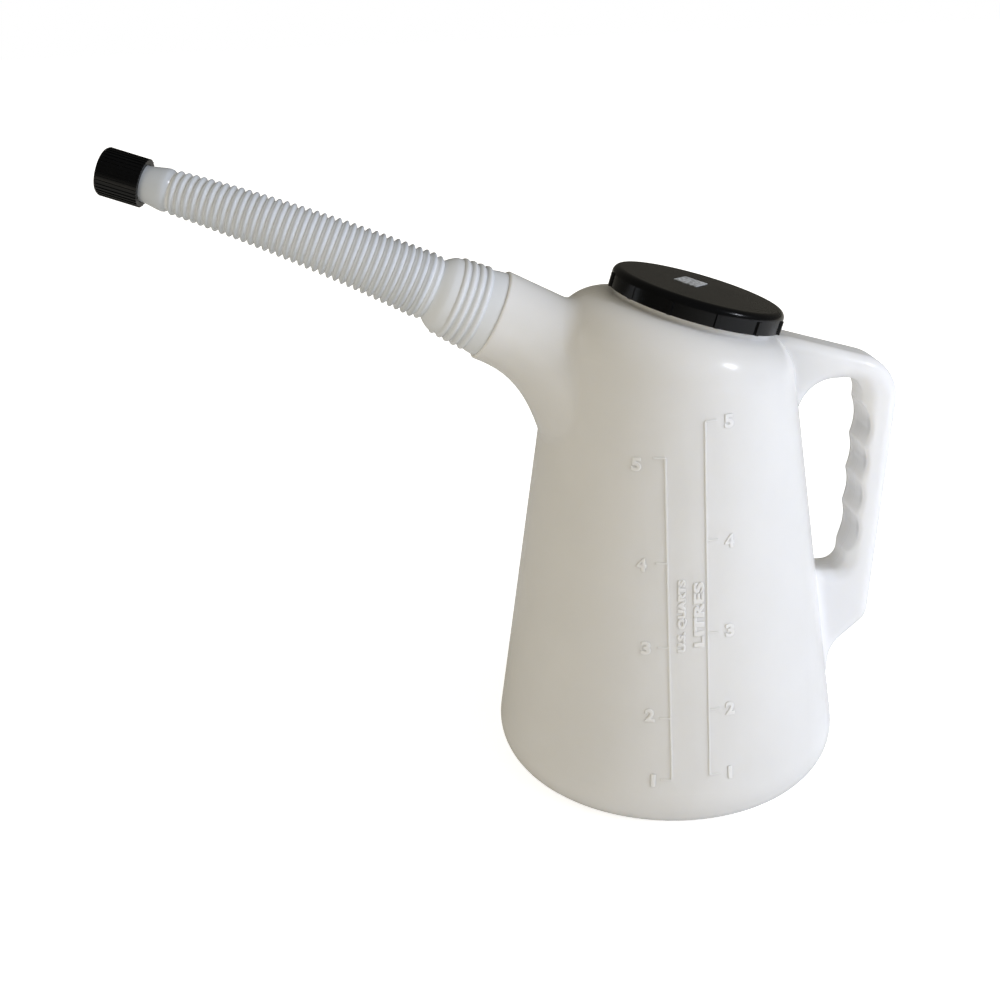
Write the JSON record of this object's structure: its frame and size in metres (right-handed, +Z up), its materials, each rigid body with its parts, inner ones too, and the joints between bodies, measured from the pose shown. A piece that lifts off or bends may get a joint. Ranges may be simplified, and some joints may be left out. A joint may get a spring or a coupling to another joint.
{
  "type": "measuring jug",
  "caption": "translucent plastic oil measure with raised litre and quart scales, black screw lid, hollow finger-grooved handle and corrugated pouring spout with screw cap",
  "frame": {"origin": "centre of the jug's round base, on the floor", "axes": "+Z up, +X towards the handle, -X towards the pouring spout, -Y towards the scales"},
  "size_m": [0.4247, 0.1976, 0.3678],
  "materials": {
    "milky_plastic": "translucent satin",
    "smoky_plastic": "translucent satin",
    "black_plastic": "satin",
    "seal_rubber": "matte",
    "white_label": "satin"
  },
  "bodies": {
    "jug": {"jug_body": "milky_plastic"},
    "seal_ring": {"lid_seal": "seal_rubber"},
    "lid": {"filler_lid": "black_plastic", "lid_label": "white_label"},
    "washer_ring": {"spout_washer": "seal_rubber"},
    "spout": {"flexible_spout": "smoky_plastic"},
    "liner_disc": {"cap_liner": "white_label"},
    "tip_cap": {"spout_cap": "black_plastic"}
  },
  "joints": [
    {"name": "lid_lift", "type": "slide", "parent": "jug", "child": "seal_ring", "axis": [0.284, 0, 0.9588], "range_m": [0, 0.01]},
    {"name": "lid_turn", "type": "hinge", "parent": "seal_ring", "child": "lid", "pos_m": [0.0164, 0, 0.283], "axis": [0.284, 0, 0.9588], "range_deg": [0, 721]},
    {"name": "spout_lift", "type": "slide", "parent": "jug", "child": "washer_ring", "axis": [-0.887, 0, 0.4617], "range_m": [0, 0.021]},
    {"name": "spout_turn", "type": "hinge", "parent": "washer_ring", "child": "spout", "pos_m": [-0.0981, 0, 0.2751], "axis": [-0.887, 0, 0.4617], "range_deg": [0, 1801]},
    {"name": "cap_lift", "type": "slide", "parent": "spout", "child": "liner_disc", "axis": [-0.9227, 0.2452, 0.2974], "range_m": [0, 0.009]},
    {"name": "cap_turn", "type": "hinge", "parent": "liner_disc", "child": "tip_cap", "pos_m": [-0.27095, 0.02115, 0.3493], "axis": [-0.9227, 0.2452, 0.2974], "range_deg": [0, 1081]}
  ],
  "couplings": [
    {"joint": "lid_turn", "follows": "lid_lift", "rad_per_m": 1256.6},
    {"joint": "spout_turn", "follows": "spout_lift", "rad_per_m": 1496},
    {"joint": "cap_turn", "follows": "cap_lift", "rad_per_m": 2094.4}
  ]
}
